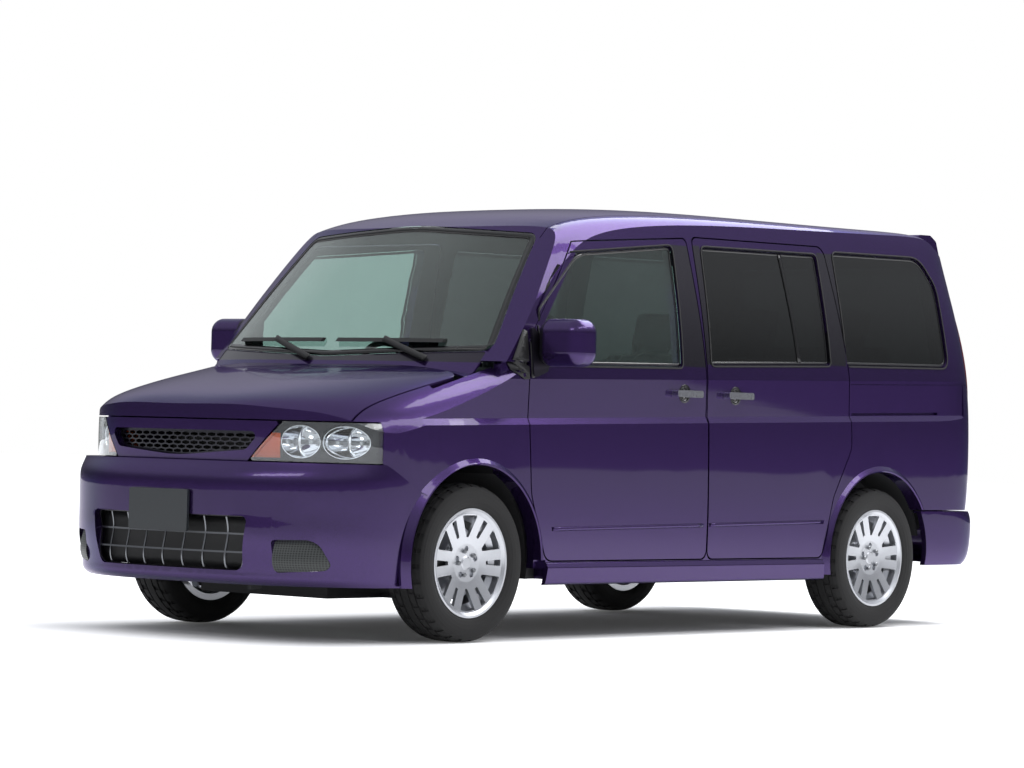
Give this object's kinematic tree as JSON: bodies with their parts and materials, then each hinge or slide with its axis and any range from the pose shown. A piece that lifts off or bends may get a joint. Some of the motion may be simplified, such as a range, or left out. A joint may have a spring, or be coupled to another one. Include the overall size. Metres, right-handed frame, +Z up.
{
  "type": "minivan",
  "caption": "Family minivan with three seat rows, hinged front doors, a sliding side door, lifting tailgate and bonnet, turning wheels and steering.",
  "frame": {"origin": "on the ground under the middle of the car's bounding box", "axes": "+Z up, the front faces -Y, the car's left side is +X"},
  "size_m": [2.135, 4.661, 1.8555],
  "materials": {
    "body_paint": "metallic gloss",
    "clear_glass": "clear",
    "dark_glass": "privacy tint",
    "black_plastic": "matt",
    "plate": "satin",
    "lamp_metal": "mirror",
    "lamp_red": "gloss",
    "handle_satin": "satin",
    "steel": "matt",
    "engine_iron": "rough",
    "exhaust_steel": "dull",
    "tank_plastic": "matt",
    "wheel_alloy": "painted",
    "tyre": "matt",
    "seat_cloth": "woven",
    "dash_plastic": "grained"
  },
  "bodies": {
    "body_shell": {"front_fenders": "body_paint", "cowl_panel": "black_plastic", "sliding_door": "body_paint", "side_panel_left": "body_paint", "side_panel_right": "body_paint", "roof_panel": "body_paint", "windscreen": "clear_glass", "side_glass": "dark_glass", "front_bumper": "body_paint", "grilles": "black_plastic", "number_plate": "plate", "grille_surround": "body_paint", "headlamp_lenses": "clear_glass", "headlamp_units": "lamp_metal", "rear_bumper": "body_paint", "tail_lamps": "lamp_red", "side_skirts": "body_paint", "sliding_door_handle": "handle_satin", "wipers": "black_plastic", "floor_pan": "steel", "front_frame": "steel", "radiator": "black_plastic", "engine_block": "engine_iron", "front_subframe": "steel", "rear_axle": "steel", "exhaust": "exhaust_steel", "fuel_tank": "tank_plastic", "front_seats": "seat_cloth", "rear_seats": "seat_cloth", "seat_frames": "steel", "dashboard": "dash_plastic"},
    "door_left": {"front_door_left": "body_paint", "front_door_glass_left": "clear_glass", "door_handle_left": "handle_satin", "mirror_left": "body_paint"},
    "door_right": {"front_door_right": "body_paint", "front_door_glass_right": "clear_glass", "door_handle_right": "handle_satin", "mirror_right": "body_paint"},
    "tailgate_body": {"tailgate": "body_paint", "tailgate_glass": "dark_glass", "rear_spoiler": "body_paint"},
    "bonnet_lid": {"bonnet": "body_paint"},
    "fuel_flap": {"fuel_lid": "body_paint"},
    "knuckle_left": {"front_knuckle_left": "steel"},
    "knuckle_right": {"front_knuckle_right": "steel"},
    "wheel_front_left": {"rim_front_left": "wheel_alloy", "tyre_front_left": "tyre"},
    "wheel_front_right": {"rim_front_right": "wheel_alloy", "tyre_front_right": "tyre"},
    "wheel_rear_left": {"rim_rear_left": "wheel_alloy", "tyre_rear_left": "tyre"},
    "wheel_rear_right": {"rim_rear_right": "wheel_alloy", "tyre_rear_right": "tyre"},
    "steering_wheel_body": {"steering_wheel": "dash_plastic"}
  },
  "joints": [
    {"name": "door_left_hinge", "type": "hinge", "parent": "body_shell", "child": "door_left", "pos_m": [0.8475, -1.04606, 0.8], "axis": [0, 0, -1], "range_deg": [0, 65]},
    {"name": "door_right_hinge", "type": "hinge", "parent": "body_shell", "child": "door_right", "pos_m": [-0.8475, -1.04606, 0.8], "axis": [0, 0, 1], "range_deg": [0, 65]},
    {"name": "tailgate_hinge", "type": "hinge", "parent": "body_shell", "child": "tailgate_body", "pos_m": [0, 1.97427, 1.8402], "axis": [1, 0, 0], "range_deg": [0, 85]},
    {"name": "bonnet_hinge", "type": "hinge", "parent": "body_shell", "child": "bonnet_lid", "pos_m": [0, -1.38475, 1.08492], "axis": [-1, 0, 0], "range_deg": [0, 50]},
    {"name": "fuel_flap_hinge", "type": "hinge", "parent": "body_shell", "child": "fuel_flap", "pos_m": [-0.84791, 1.59633, 0.83947], "axis": [0, 0, 1], "range_deg": [0, 85]},
    {"name": "steer_left", "type": "hinge", "parent": "body_shell", "child": "knuckle_left", "pos_m": [0.68578, -1.38, 0.185], "axis": [-0.2571, 0, 0.9664], "range_deg": [-35, 35]},
    {"name": "steer_right", "type": "hinge", "parent": "body_shell", "child": "knuckle_right", "pos_m": [-0.68578, -1.38, 0.185], "axis": [0.2571, 0, 0.9664], "range_deg": [-35, 35]},
    {"name": "steering_wheel_turn", "type": "hinge", "parent": "body_shell", "child": "steering_wheel_body", "pos_m": [-0.365, -0.56152, 1.05719], "axis": [0, 0.9135, 0.4067], "range_deg": [-560, 560]},
    {"name": "roll_front_left", "type": "hinge", "parent": "knuckle_left", "child": "wheel_front_left", "pos_m": [0.735, -1.38, 0.32], "axis": [1, 0, 0], "continuous": true},
    {"name": "roll_front_right", "type": "hinge", "parent": "knuckle_right", "child": "wheel_front_right", "pos_m": [-0.735, -1.38, 0.32], "axis": [1, 0, 0], "continuous": true},
    {"name": "roll_rear_left", "type": "hinge", "parent": "body_shell", "child": "wheel_rear_left", "pos_m": [0.735, 1.423, 0.32], "axis": [1, 0, 0], "continuous": true},
    {"name": "roll_rear_right", "type": "hinge", "parent": "body_shell", "child": "wheel_rear_right", "pos_m": [-0.735, 1.423, 0.32], "axis": [1, 0, 0], "continuous": true}
  ],
  "couplings": [
    {"joint": "steer_right", "follows": "steer_left", "ratio": 1},
    {"joint": "steering_wheel_turn", "follows": "steer_left", "ratio": 16}
  ]
}
